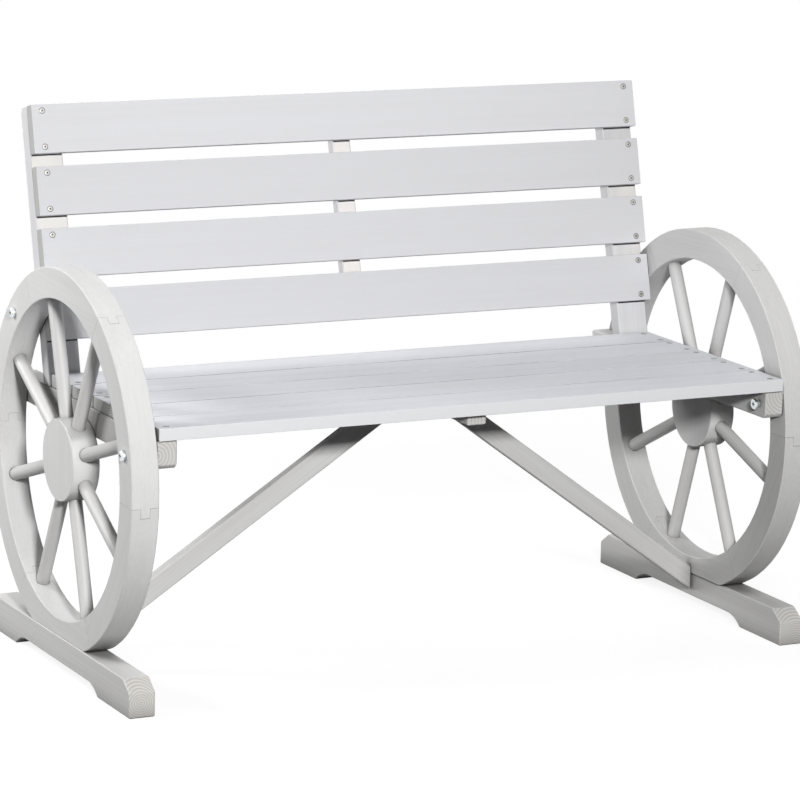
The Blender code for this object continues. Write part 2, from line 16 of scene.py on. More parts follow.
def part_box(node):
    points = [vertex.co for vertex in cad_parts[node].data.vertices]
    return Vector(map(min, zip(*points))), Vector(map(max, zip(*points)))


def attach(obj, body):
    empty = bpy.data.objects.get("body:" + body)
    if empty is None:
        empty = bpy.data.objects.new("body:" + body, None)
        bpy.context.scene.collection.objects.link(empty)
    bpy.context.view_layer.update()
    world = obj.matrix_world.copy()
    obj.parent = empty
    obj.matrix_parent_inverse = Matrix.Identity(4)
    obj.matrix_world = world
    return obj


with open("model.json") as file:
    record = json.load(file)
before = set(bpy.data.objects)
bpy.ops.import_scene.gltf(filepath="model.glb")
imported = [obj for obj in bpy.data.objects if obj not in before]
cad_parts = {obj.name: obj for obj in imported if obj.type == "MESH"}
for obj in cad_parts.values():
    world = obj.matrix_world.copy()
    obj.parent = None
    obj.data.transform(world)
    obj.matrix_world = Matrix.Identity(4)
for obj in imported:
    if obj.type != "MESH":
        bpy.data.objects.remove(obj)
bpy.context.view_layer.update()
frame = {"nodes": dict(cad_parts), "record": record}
NODES = frame["nodes"]
SEAT_SLATS = [name for name in sorted(NODES) if name.startswith("seat_slat")]
BACK_SLATS = [name for name in sorted(NODES) if name.startswith("back_slat")]
WORLD_X = Vector((1, 0, 0))
WORLD_Y = Vector((0, 1, 0))
WORLD_Z = Vector((0, 0, 1))
RANDOM_SEED = 8711
draw = random.Random(RANDOM_SEED)

# Camera fitted to the photograph, which is 800 pixels wide and high.
FRAME_PX = 800
CAMERA_FOCAL_PX = 4038.2
CAMERA_SENSOR = 36.0
CAMERA_AZIMUTH = math.radians(-26.4135)
CAMERA_ELEVATION = math.radians(11.605)
CAMERA_ROLL = math.radians(1.2303)
CAMERA_DISTANCE = 6.0007
CAMERA_TARGET = Vector((0.0008, 0.0, 0.3588))

# Edges flatter than this are shaded round, and doubled corners of the frame's meshes are welded.
ROUND_ANGLE = math.radians(30.0)
WELD_DISTANCE = 0.00001

# A pair of values is where a soft step begins and where it is full, unless its comment says otherwise.

# Noise in the wood: how many marks to the metre along, across and through the board.
STRAY_MARKS = (2.2, 9.0, 9.0)
FIBRE_MARKS = (5.0, 420.0, 420.0)
BAND_MARKS = (1.3, 70.0, 70.0)
PATCH_MARKS = (6.0, 16.0, 16.0)
PLAIN_DETAIL = 2.0
FINE_DETAIL = 3.0
# How far the grain strays from straight, and the range of the random shift of the marks along a board.
GRAIN_STRAY = 0.007
GRAIN_SHIFT = (0.0, 9.0)
# Leaves out the part of a vector that runs along the board.
CROSS_SECTION = (0.0, 1.0, 1.0)
# Late wood as a share of one growth ring: where it darkens, and where it ends.
LATE_WOOD_DARKENS = (0.10, 0.60)
LATE_WOOD_ENDS = (0.65, 1.0)
# The pith's place across and through the board from its middle: a fixed distance or a random range.
SPOKE_PITH_ACROSS = 0.010
SPOKE_PITH_THROUGH = (0.02, 0.05)
PITH_ACROSS = (-0.02, 0.02)
PITH_THROUGH = (0.035, 0.080)
# Where the rings of some pieces centre on their front ends instead, as x and z.
RING_CENTRES = {
    "left_foot": (-0.526, 0.024),
    "right_foot": (0.536, 0.005),
    "left_side_rail": (-0.4985, 0.371),
    "right_side_rail": (0.511, 0.3885),
    "seat_batten": (-0.140, 0.372),
}
# A worn edge lies where a face turns through the board: where it begins, and where the flat face takes over.
EDGE_BEGINS = (0.15, 0.45)
EDGE_ENDS = (0.85, 0.985)
# How much farther a face turns along the board from where end grain begins to where it is full.
END_BLEND = 0.15

# Random range of each piece's lightness.
TONE_SPREAD = (0.97, 1.03)
# Share of the weight of fibres, bands and patches that is taken off, so that the wash is whole between them.
MARKS_OFFSET = 0.25
# Bare wood on the ends: its start, and what rings and patches add.
END_BARE_START = -0.20
END_BARE_RINGS = 0.85
END_BARE_PATCHES = 0.40
# What fibres, patches and end grain add to the roughness.
ROUGH_FIBRES = 0.16
ROUGH_PATCHES = 0.12
ROUGH_ENDS = 0.20
# What fibres, rings and patches add to the relief, and its height.
RELIEF_FIBRES = 0.60
RELIEF_RINGS = 0.25
RELIEF_PATCHES = 0.15
RELIEF_HEIGHT = 0.0008

# Painted shade in the joints, in wide corners and on zinc: how far each reaches, and how open a corner
# is where it is full and where it has gone. All three have one colour.
PAINTED_SHADE = (0.085, 0.083, 0.080)
JOINT_SHADE_REACH = 0.005
JOINT_SHADE_OPEN = (0.30, 0.70)
CORNER_SHADE_REACH = 0.045
CORNER_SHADE_OPEN = (0.25, 0.90)
ZINC_SHADE_REACH = 0.003
ZINC_SHADE_OPEN = (0.35, 0.80)
CORNER_SAMPLES = 8

# The seat's front edge took more wash. The front edges of its other slats lie in gaps and carry painted
# shade in patches, and each gap has more or less painted shade than its patches.
SEAT_EDGE_FACING = (0.45, 0.70)
SEAT_FRONT_WASH = (0.755, 0.762, 0.78)
SEAT_GAP_SHADE = (0.22, 0.22, 0.23)
SEAT_GAP_PATCHES = (0.30, 0.62)
SEAT_GAP_MORE = {"seat_slat_2": -0.45, "seat_slat_3": -0.35, "seat_slat_4": -0.40, "seat_slat_5": 0.25}

# Fronts of the posts and the back batten: cream patches from behind the lowest slat up, and a painted shadow
# line under every slat.
BACK_FACING = (0.75, 0.95)
POST_CREAM = (0.80, 0.785, 0.755)
POST_PATCHES = (0.25, 0.60)
BATTEN_CREAM = (0.86, 0.835, 0.81)
BATTEN_PATCHES = (0.15, 0.45)
CREAM_FROM_Z = 0.455
CREAM_BLEND = 0.02
SLAT_SHADOW = (0.030, 0.028, 0.027)
SLAT_SHADOW_WIDTH = 0.0014

# Wood screws: countersunk heads with a cross recess.
SCREW_HEAD_R = 0.0037
SCREW_SINK_R = 0.0046
SCREW_CROWN_R = 0.0031
SCREW_TIP_R = SCREW_CROWN_R / 2
SCREW_SIDES = 24
SCREW_DEPTH = 0.0020
SCREW_LIFT = 0.0001
SCREW_RIM_HEIGHT = 0.00025
SCREW_HEIGHT = 0.0004
CROSS_SPAN = 0.0040
CROSS_WIDTH = 0.0011
SCREW_PAIR = 0.053
BACK_SCREW_INSET = 0.0167
SEAT_SCREW_INSET = 0.0155
# Places of the two finishes on a screw: zinc on the head, and painted shade in its countersink and cross
# recess.
HEAD_SLOT = 0
RECESS_SLOT = 1

# Zinc plate: marks to the metre, where clouds are stained, what marks add to roughness, and its relief.
ZINC_CLOUDS = (260.0, 260.0, 260.0)
ZINC_SCRATCHES = (900.0, 900.0, 2600.0)
ZINC_STAINED = (0.35, 0.70)
ZINC_ROUGH_SCRATCHES = 0.20
ZINC_ROUGH_CLOUDS = 0.10
ZINC_BUMP = 0.08
METAL_RELIEF_HEIGHT = 0.0002
# Painted shade round a screw head and in its recess: marks to the metre, its colours, its roughness and its
# relief.
RECESS_CLOUDS = (420.0, 420.0, 420.0)
RECESS_SHADE_DARK = (0.03, 0.03, 0.03)
RECESS_SHADE_LIGHT = (0.13, 0.125, 0.12)
RECESS_ROUGHNESS = 0.50
RECESS_ROUGH_CLOUDS = 0.30
RECESS_BUMP = 0.10

# Floor: its size, its colour in bounced light and to the eye, its glow, and where it fades to plain white.
FLOOR_HALF = 30.0
FLOOR_CORNERS = ((-1, -1), (1, -1), (1, 1), (-1, 1))
FLOOR_DROP = 0.0004
FLOOR_BOUNCE = (0.07, 0.07, 0.07, 1.0)
FLOOR_LIT = (0.20, 0.20, 0.20)
FLOOR_GLOW = 0.86
FLOOR_FADE = (0.9, 2.0)

# World: its light from below and from above, where above is, and how the two blend.
AMBIENT_DARK = (0.008, 0.008, 0.008)
AMBIENT_LIGHT = (0.03, 0.03, 0.03)
AMBIENT_FROM = Vector((-0.35, -0.45, 0.82)).normalized()
AMBIENT_BLEND = (-0.9, 1.0)

BLACK = (0.0, 0.0, 0.0)
WHITE = (1.0, 1.0, 1.0, 1.0)


class Wash(NamedTuple):
    """A whitewash: its colours, how much of each mark shows, and its surface."""
    paint: tuple
    wood: tuple = (0.45, 0.435, 0.41)
    end_light: tuple = (0.74, 0.73, 0.71)
    end_dark: tuple = (0.33, 0.315, 0.30)
    ring_width: float = 0.0035
    rings: float = 0.05
    fibres: float = 0.20
    bands: float = 0.25
    patches: float = 0.12
    edges: float = 0.15
    bare: float = 0.05
    end_from: float = 0.72
    roughness: float = 0.52
    specular: float = 0.10
    bump: float = 0.10
    # How much painted shade darkens the joints and the wide corners.
    joint_shade: float = 0.85
    corner_shade: float = 0.45


WASHES = {
    "back_whitewash": Wash(
        paint=(0.692, 0.695, 0.722), end_light=(0.50, 0.51, 0.495), end_dark=(0.36, 0.36, 0.35),
        fibres=0.07, bands=0.12, patches=0.05, rings=0.02, corner_shade=0.05),
    "seat_whitewash": Wash(
        paint=(0.748, 0.763, 0.817), end_light=(0.57, 0.58, 0.57), end_dark=(0.40, 0.40, 0.39),
        fibres=0.20, bands=0.30, patches=0.10, rings=0.04, joint_shade=0.50, corner_shade=0.50),
    "wheel_whitewash": Wash(
        paint=(0.750, 0.751, 0.753),
        fibres=0.28, bands=0.20, patches=0.20, rings=0.02, joint_shade=0.35, corner_shade=0.55),
    "foot_whitewash": Wash(
        paint=(0.710, 0.710, 0.710), end_light=(0.69, 0.675, 0.65), end_dark=(0.50, 0.475, 0.44),
        fibres=0.30, bands=0.26, rings=0.06, corner_shade=0.65, end_from=0.38),
    "frame_whitewash": Wash(
        paint=(0.715, 0.715, 0.717), end_light=(0.65, 0.635, 0.61), end_dark=(0.49, 0.475, 0.45),
        fibres=0.52, bands=0.28, rings=0.06, ring_width=0.0052, corner_shade=0.65),
}

# What differs for some pieces: smooth turned spokes, end grain on the hubs, and more open grain.
KIND_WASHES = {
    "spoke": {"specular": 0.30, "roughness": 0.45},
    "hub": {
        "bands": 0.12, "end_from": 0.58,
        "end_light": (0.62, 0.62, 0.61), "end_dark": (0.36, 0.36, 0.35),
    },
    "post": {"fibres": 0.42, "bands": 0.24},
    "right_felloe": {"fibres": 0.48},
    "right_foot": {"fibres": 0.50},
}

# How light some pieces are beside others with the same wash: painted light on the left felloes, painted
# shade on the spokes, right felloes, left side rail and rear seat slats; the back slats are darker towards
# the bottom.
TONES_AND_PAINTED_LIGHT = {
    "spoke": 0.86, "left_felloe": 1.03, "right_felloe": 0.94, "left_side_rail": 0.80,
    "back_slat_1": 0.90, "back_slat_2": 0.945, "back_slat_3": 0.965,
    "seat_slat_3": 0.98, "seat_slat_4": 0.96, "seat_slat_5": 0.93,
}


class Plate(NamedTuple):
    """A zinc plate: its colour, the colour of its stains and its roughness."""
    colour: tuple
    stain: tuple
    roughness: float


BOLT_PLATE = Plate(colour=(0.74, 0.78, 0.82), stain=(0.66, 0.69, 0.66), roughness=0.32)
SCREW_PLATE = Plate(colour=(0.50, 0.49, 0.47), stain=(0.42, 0.415, 0.40), roughness=0.50)


class Softbox(NamedTuple):
    """A soft lamp; exposure 1 alone shows a facing surface at the aim in its own colour."""
    name: str
    place: tuple
    aim: tuple
    width: float
    height: float
    exposure: float
    in_gloss: bool = True


BENCH_MIDDLE = (0.0, 0.0, 0.4)
LEFT_WHEEL = (-0.5, 0.0, 0.35)
RIGHT_WHEEL = (0.5, 0.0, 0.30)
SOFTBOXES = [
    Softbox("key", (-1.62, -5.60, 2.46), BENCH_MIDDLE, width=0.60, height=0.45, exposure=0.69),
    Softbox("front", (-1.05, -2.85, 1.41), BENCH_MIDDLE, width=0.35, height=0.30, exposure=0.25),
    Softbox("left", (-1.75, 1.10, 1.30), LEFT_WHEEL, width=0.6, height=0.6, exposure=0.70),
    Softbox("left_low", (-2.60, 0.20, 0.90), LEFT_WHEEL, width=0.6, height=0.6, exposure=0.18),
    Softbox("top", (0.1, 0.10, 2.4), BENCH_MIDDLE, width=1.2, height=1.1, exposure=0.41),
    Softbox("rear", (0.8, 3.4, 2.2), BENCH_MIDDLE, width=2.0, height=1.4, exposure=0.22),
    Softbox("right", (2.6, 2.8, 0.24), RIGHT_WHEEL, width=0.9, height=0.30, exposure=0.30, in_gloss=False),
]


def middle(node):
    """Middle of a node's box."""
    low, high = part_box(node)
    return (low + high) / 2


def reach(node, direction):
    """How far a node goes along a direction."""
    return max(vertex.co.dot(direction) for vertex in NODES[node].data.vertices)


def on_face(node, normal, point):
    """The point moved straight onto the node's face that looks along the normal."""
    return point + normal * (reach(node, normal) - point.dot(normal))


# Up along the leaning back, and out of its front.
POST_UP = (middle(BACK_SLATS[-1]) - middle(BACK_SLATS[0])).normalized()
BACK_FRONT = WORLD_X.cross(POST_UP).normalized()


def of_kind(table, name, default):
    """The first entry of a table whose kind is in a piece's name."""
    return next((entry for kind, entry in table.items() if kind in name), default)


def link_object(name, data):
    """A new object in the scene."""
    obj = bpy.data.objects.new(name, data)
    bpy.context.collection.objects.link(obj)
    return obj


class Graph:
    """Short calls that wire one node tree."""

    # Sockets of a Mix node that is set to colour.
    MIX_FACTOR = 0
    MIX_A = 6
    MIX_B = 7
    MIX_RESULT = 2

    def __init__(self, tree):
        self.tree = tree

    def put(self, socket, value):
        """Link an output to a socket, or set the socket's own value."""
        if isinstance(value, bpy.types.NodeSocket):
            self.tree.links.new(value, socket)
        else:
            socket.default_value = value

    def add(self, kind, inputs=None, **settings):
        """A node of that kind, with its settings and inputs."""
        node = self.tree.nodes.new(kind)
        for key, value in settings.items():
            setattr(node, key, value)
        for key, value in (inputs or {}).items():
            self.put(node.inputs[key], value)
        return node

    def math(self, operation, a, b=0.0):
        """One step of arithmetic on numbers."""
        return self.add("ShaderNodeMath", {0: a, 1: b}, operation=operation).outputs[0]

    def vector(self, operation, a, b):
        """One step of arithmetic on vectors."""
        return self.add("ShaderNodeVectorMath", {0: a, 1: b}, operation=operation).outputs["Vector"]

    def dot(self, a, b):
        """Dot product of two vectors."""
        return self.add("ShaderNodeVectorMath", {0: a, 1: b}, operation="DOT_PRODUCT").outputs["Value"]

    def length(self, a):
        """Length of a vector."""
        return self.add("ShaderNodeVectorMath", {0: a}, operation="LENGTH").outputs["Value"]

    def noise(self, coords, marks, detail=PLAIN_DETAIL):
        """Noise about 0.5 with so many marks to the metre along each axis."""
        inputs = {"Vector": self.vector("MULTIPLY", coords, marks), "Scale": 1.0, "Detail": detail}
        return self.add("ShaderNodeTexNoise", inputs)

    def smooth(self, value, low, high):
        """0 at low, 1 at high, with a soft step between."""
        inputs = {"Value": value, "From Min": low, "From Max": high}
        return self.add("ShaderNodeMapRange", inputs, interpolation_type="SMOOTHSTEP").outputs["Result"]

    def total(self, start, parts):
        """The start value plus each part times its weight, kept between 0 and 1."""
        value = start
        for part, weight in parts:
            node = self.add("ShaderNodeMath", {0: part, 1: weight, 2: value}, operation="MULTIPLY_ADD")
            value = node.outputs[0]
        return self.add("ShaderNodeClamp", {"Value": value}).outputs[0]

    def mix(self, factor, a, b):
        """A colour between a and b."""
        node = self.add("ShaderNodeMix", data_type="RGBA")
        for index, value in ((self.MIX_FACTOR, factor), (self.MIX_A, a), (self.MIX_B, b)):
            self.put(node.inputs[index], (*value, 1.0) if isinstance(value, tuple) else value)
        return node.outputs[self.MIX_RESULT]


def cleared_graph(owner):
    """The emptied node tree of a material or a world."""
    owner.use_nodes = True
    owner.node_tree.nodes.clear()
    return Graph(owner.node_tree)


def new_material(name):
    """A new material and its graph, with a Principled shader on the output."""
    material = bpy.data.materials.new(name)
    graph = cleared_graph(material)
    shader = graph.add("ShaderNodeBsdfPrincipled")
    graph.add("ShaderNodeOutputMaterial", {"Surface": shader.outputs[0]})
    return material, graph, shader


def add_relief(graph, shader, height, strength, distance):
    """Fine relief on a shader's surface."""
    bump = graph.add("ShaderNodeBump", {"Strength": strength, "Distance": distance, "Height": height})
    graph.put(shader.inputs["Normal"], bump.outputs[0])


def corner(graph, distance, open_range):
    """1 deep in a corner of that reach, 0 on open faces."""
    inputs = {"Distance": distance}
    open_share = graph.add("ShaderNodeAmbientOcclusion", inputs, samples=CORNER_SAMPLES).outputs["AO"]
    return graph.math("SUBTRACT", 1.0, graph.smooth(open_share, *open_range))


class Grain(NamedTuple):
    """How a piece was sawn: along, across and through its board, its middle and where the pith lay."""
    along: Vector
    across: Vector
    through: Vector
    centre: Vector
    pith: tuple


def main_axes(obj):
    """Long, middle and short axis of a piece, from the spread of its faces."""
    centres = np.array([face.center for face in obj.data.polygons])
    areas = np.array([face.area for face in obj.data.polygons])
    offsets = centres - (centres * areas[:, None]).sum(0) / areas.sum()
    spread = (offsets * areas[:, None]).T @ offsets
    axes = [Vector(axis) for axis in np.linalg.eigh(spread)[1].T[::-1]]
    return [axis if max(axis, key=abs) > 0 else -axis for axis in axes]


def pith_of(name, across, through, centre):
    """Where the middle of the tree lay, across and through the board from its middle."""
    if name in RING_CENTRES:
        x, z = RING_CENTRES[name]
        offset = Vector((x, centre.y, z)) - centre
        return offset.dot(across), offset.dot(through)
    sign = draw.choice((-1, 1))
    if "spoke" in name:
        return sign * SPOKE_PITH_ACROSS, draw.uniform(*SPOKE_PITH_THROUGH)
    return draw.uniform(*PITH_ACROSS), sign * draw.uniform(*PITH_THROUGH)


def grain_of(name):
    """The grain of one piece: upright in a hub, along the chord of a felloe, else along the piece."""
    obj = NODES[name]
    if "hub" in name:
        along, through = WORLD_Z, WORLD_X
    elif "spoke" in name or "felloe" in name:
        along, through = main_axes(obj)[0], WORLD_X
    else:
        along, _, through = main_axes(obj)
    across = through.cross(along).normalized()
    through = along.cross(across)
    centre = middle(name)
    return Grain(along, across, through, centre, pith_of(name, across, through, centre))


def wood_marks(graph, grain, wash):
    """Growth rings, fibres, bands and patches of a piece, and its end-grain and edge masks."""
    turn = Matrix((grain.along, grain.across, grain.through))
    shift = Vector((draw.uniform(*GRAIN_SHIFT), -grain.pith[0], -grain.pith[1])) - turn @ grain.centre
    coords = graph.add("ShaderNodeTexCoord")
    position, normal = coords.outputs["Object"], coords.outputs["Normal"]
    inputs = {"Vector": position, "Location": shift, "Rotation": turn.to_euler()}
    place = graph.add("ShaderNodeMapping", inputs).outputs[0]
    stray = graph.noise(place, STRAY_MARKS).outputs["Color"]
    inputs = {0: stray, 1: (0.0, GRAIN_STRAY, GRAIN_STRAY), 2: place}
    bent = graph.add("ShaderNodeVectorMath", inputs, operation="MULTIPLY_ADD").outputs[0]
    radius = graph.length(graph.vector("MULTIPLY", bent, CROSS_SECTION))
    phase = graph.math("FRACT", graph.math("DIVIDE", radius, wash.ring_width))
    darkens = graph.smooth(phase, *LATE_WOOD_DARKENS)
    end = graph.math("ABSOLUTE", graph.dot(normal, grain.along))
    side = graph.math("ABSOLUTE", graph.dot(normal, grain.through))
    inside_face = graph.math("SUBTRACT", 1.0, graph.smooth(side, *EDGE_ENDS))
    return {
        "late": graph.math("SUBTRACT", darkens, graph.smooth(phase, *LATE_WOOD_ENDS)),
        "fibres": graph.noise(bent, FIBRE_MARKS, FINE_DETAIL).outputs["Fac"],
        "bands": graph.noise(bent, BAND_MARKS).outputs["Fac"],
        "patches": graph.noise(place, PATCH_MARKS, FINE_DETAIL).outputs["Fac"],
        "end": graph.smooth(end, wash.end_from, wash.end_from + END_BLEND),
        "edge": graph.math("MULTIPLY", graph.smooth(side, *EDGE_BEGINS), inside_face),
        "normal": normal,
        "position": position,
    }


def back_front(graph, marks, colour, cream, cream_patches):
    """The front of a post or of the back batten: cream patches higher up, and a painted shadow under every
    slat.
    """
    front = graph.smooth(graph.dot(marks["normal"], BACK_FRONT), *BACK_FACING)
    above = graph.smooth(graph.dot(marks["position"], WORLD_Z), CREAM_FROM_Z, CREAM_FROM_Z + CREAM_BLEND)
    thin = graph.math("MULTIPLY", above, graph.smooth(marks["patches"], *cream_patches))
    colour = graph.mix(graph.math("MULTIPLY", front, thin), colour, cream)
    height = graph.dot(marks["position"], POST_UP)
    for slat in BACK_SLATS:
        edge = -reach(slat, -POST_UP)
        from_below = graph.smooth(height, edge - 2 * SLAT_SHADOW_WIDTH, edge - SLAT_SHADOW_WIDTH)
        from_above = graph.smooth(height, edge + 2 * SLAT_SHADOW_WIDTH, edge + SLAT_SHADOW_WIDTH)
        shadow_band = graph.math("MULTIPLY", from_below, from_above)
        colour = graph.mix(graph.math("MULTIPLY", front, shadow_band), colour, SLAT_SHADOW)
    return colour


def seat_edge(graph, marks, colour, name):
    """The front edge of a seat slat: clean at the front of the seat, with painted shade in the gaps."""
    front = graph.smooth(graph.dot(marks["normal"], -WORLD_Y), *SEAT_EDGE_FACING)
    if name not in SEAT_GAP_MORE:
        return graph.mix(front, colour, SEAT_FRONT_WASH)
    gap_shade = graph.total(SEAT_GAP_MORE[name], [(graph.smooth(marks["patches"], *SEAT_GAP_PATCHES), 1.0)])
    return graph.mix(graph.math("MULTIPLY", front, gap_shade), colour, SEAT_GAP_SHADE)


def face_colour(graph, marks, name, wash):
    """Colour of the faces along the grain: paint, with the wood bare where the marks are strong."""
    # A random tone, times painted light and shade on some pieces.
    tone_and_light = draw.uniform(*TONE_SPREAD) * of_kind(TONES_AND_PAINTED_LIGHT, name, 1.0)
    paint = tuple(channel * tone_and_light for channel in wash.paint)
    edge_wear = graph.math("MULTIPLY", marks["edge"], marks["patches"])
    start = wash.bare - MARKS_OFFSET * (wash.fibres + wash.bands + wash.patches)
    bare = graph.total(start, [
        (marks["late"], wash.rings), (marks["fibres"], wash.fibres), (marks["bands"], wash.bands),
        (marks["patches"], wash.patches), (edge_wear, wash.edges)])
    colour = graph.mix(bare, paint, wash.wood)
    if name == "back_batten":
        return back_front(graph, marks, colour, BATTEN_CREAM, BATTEN_PATCHES)
    if "post" in name:
        return back_front(graph, marks, colour, POST_CREAM, POST_PATCHES)
    if "seat_slat" in name:
        return seat_edge(graph, marks, colour, name)
    return colour


def end_colour(graph, marks, wash):
    """Colour of the ends, with the growth rings."""
    bare = graph.total(END_BARE_START, [
        (marks["late"], END_BARE_RINGS), (marks["patches"], END_BARE_PATCHES)])
    return graph.mix(bare, wash.end_light, wash.end_dark)


def shaded_in_corners(graph, colour, wash):
    """A colour with painted shade in wide corners and in the joints."""
    corner_shade = graph.math("MULTIPLY", corner(graph, CORNER_SHADE_REACH, CORNER_SHADE_OPEN), wash.corner_shade)
    joint_shade = graph.math("MULTIPLY", corner(graph, JOINT_SHADE_REACH, JOINT_SHADE_OPEN), wash.joint_shade)
    return graph.mix(joint_shade, graph.mix(corner_shade, colour, PAINTED_SHADE), PAINTED_SHADE)


def wood_material(name, wash):
    """Whitewashed wood for one piece, sawn along its own grain."""
    material, graph, shader = new_material(f"{name}_wood")
    marks = wood_marks(graph, grain_of(name), wash)
    faces = face_colour(graph, marks, name, wash)
    colour = graph.mix(marks["end"], faces, end_colour(graph, marks, wash))
    # The colour carries painted shade in the joints and the wide corners.
    graph.put(shader.inputs["Base Color"], shaded_in_corners(graph, colour, wash))
    shader.inputs["Specular IOR Level"].default_value = wash.specular
    smoothest = wash.roughness - (ROUGH_FIBRES + ROUGH_PATCHES) / 2
    roughness = graph.total(smoothest, [
        (marks["fibres"], ROUGH_FIBRES), (marks["patches"], ROUGH_PATCHES), (marks["end"], ROUGH_ENDS)])
    graph.put(shader.inputs["Roughness"], roughness)
    height = graph.total(0.0, [
        (marks["fibres"], RELIEF_FIBRES), (marks["late"], RELIEF_RINGS), (marks["patches"], RELIEF_PATCHES)])
    add_relief(graph, shader, height, wash.bump, RELIEF_HEIGHT)
    return material


def zinc_material(name, plate):
    """Zinc plate with stains, fine scratches and dull patches, and painted shade in its corners."""
    material, graph, shader = new_material(name)
    coords = graph.add("ShaderNodeTexCoord").outputs["Object"]
    cloud = graph.noise(coords, ZINC_CLOUDS).outputs["Fac"]
    scratch = graph.noise(coords, ZINC_SCRATCHES, FINE_DETAIL).outputs["Fac"]
    colour = graph.mix(graph.smooth(cloud, *ZINC_STAINED), plate.colour, plate.stain)
    shade = corner(graph, ZINC_SHADE_REACH, ZINC_SHADE_OPEN)
    graph.put(shader.inputs["Base Color"], graph.mix(shade, colour, PAINTED_SHADE))
    smoothest = plate.roughness - (ZINC_ROUGH_SCRATCHES + ZINC_ROUGH_CLOUDS) / 2
    roughness = graph.total(smoothest, [(scratch, ZINC_ROUGH_SCRATCHES), (cloud, ZINC_ROUGH_CLOUDS)])
    graph.put(shader.inputs["Roughness"], roughness)
    add_relief(graph, shader, scratch, ZINC_BUMP, METAL_RELIEF_HEIGHT)
    shader.inputs["Metallic"].default_value = 1.0
    return material


def recess_shade_material():
    """Painted shade in the countersink round a screw head and inside its cross recess."""
    material, graph, shader = new_material("screw_recess_shade")
    coords = graph.add("ShaderNodeTexCoord").outputs["Object"]
    cloud = graph.noise(coords, RECESS_CLOUDS, FINE_DETAIL).outputs["Fac"]
    graph.put(shader.inputs["Base Color"], graph.mix(cloud, RECESS_SHADE_DARK, RECESS_SHADE_LIGHT))
    graph.put(shader.inputs["Roughness"], graph.total(RECESS_ROUGHNESS, [(cloud, RECESS_ROUGH_CLOUDS)]))
    add_relief(graph, shader, cloud, RECESS_BUMP, METAL_RELIEF_HEIGHT)
    return material


def rounding_group():
    """Geometry nodes that weld a frame mesh and shade its shallow edges round."""
    group = bpy.data.node_groups.new("welded_round", "GeometryNodeTree")
    group.interface.new_socket("Geometry", in_out="INPUT", socket_type="NodeSocketGeometry")
    group.interface.new_socket("Geometry", in_out="OUTPUT", socket_type="NodeSocketGeometry")
    graph = Graph(group)
    source = graph.add("NodeGroupInput").outputs[0]
    welded = graph.add("GeometryNodeMergeByDistance", {"Geometry": source, "Distance": WELD_DISTANCE})
    faces = graph.add("GeometryNodeSetShadeSmooth", {"Geometry": welded.outputs[0], "Shade Smooth": True})
    angle = graph.add("GeometryNodeInputMeshEdgeAngle").outputs["Unsigned Angle"]
    shallow = graph.add("FunctionNodeCompare", {"A": angle, "B": ROUND_ANGLE}, operation="LESS_THAN")
    inputs = {"Geometry": faces.outputs[0], "Shade Smooth": shallow.outputs[0]}
    edges = graph.add("GeometryNodeSetShadeSmooth", inputs, domain="EDGE")
    graph.add("NodeGroupOutput", {0: edges.outputs[0]})
    return group


def round_off(obj, group):
    """Shade a frame piece round where it is round, with its flat faces kept flat."""
    baked = obj.data.attributes.get("custom_normal")
    if baked:
        obj.data.attributes.remove(baked)
    obj.modifiers.new("welded_round", "NODES").node_group = group
    flat = obj.modifiers.new("flat_faces", "WEIGHTED_NORMAL")
    flat.keep_sharp = True


def dress_frame():
    """Give every frame piece its finish."""
    group = rounding_group()
    zinc = zinc_material("zinc_plate_bright", BOLT_PLATE)
    slots = {part["node"]: part["material_slot"] for part in frame["record"]["subparts"]}
    for name in sorted(NODES):
        obj = NODES[name]
        round_off(obj, group)
        if slots[name] == "zinc_plate":
            finish = zinc
        else:
            wash = WASHES[slots[name]]._replace(**of_kind(KIND_WASHES, name, {}))
            finish = wood_material(name, wash)
        obj.data.materials.clear()
        obj.data.materials.append(finish)


def circle(bm, radius, height):
    """A ring of points about +Z."""
    turn = 2 * math.pi / SCREW_SIDES
    return [bm.verts.new((radius * math.cos(i * turn), radius * math.sin(i * turn), height))
            for i in range(SCREW_SIDES)]


def skirt(bm, lower, upper, slot):
    """Faces between two rings of points."""
    for i in range(len(lower)):
        j = (i + 1) % len(lower)
        bm.faces.new((lower[i], lower[j], upper[j], upper[i])).material_index = slot


def cross_outline():
    """The cross of a recess, as twelve points about +Z."""
    arm = CROSS_SPAN / 2
    half = CROSS_WIDTH / 2
    outline = []
    for quarter in range(4):
        turn = Matrix.Rotation(quarter * math.pi / 2, 3, "Z")
        outline += [turn @ Vector(point) for point in ((arm, -half, 0), (arm, half, 0), (half, half, 0))]
    return outline


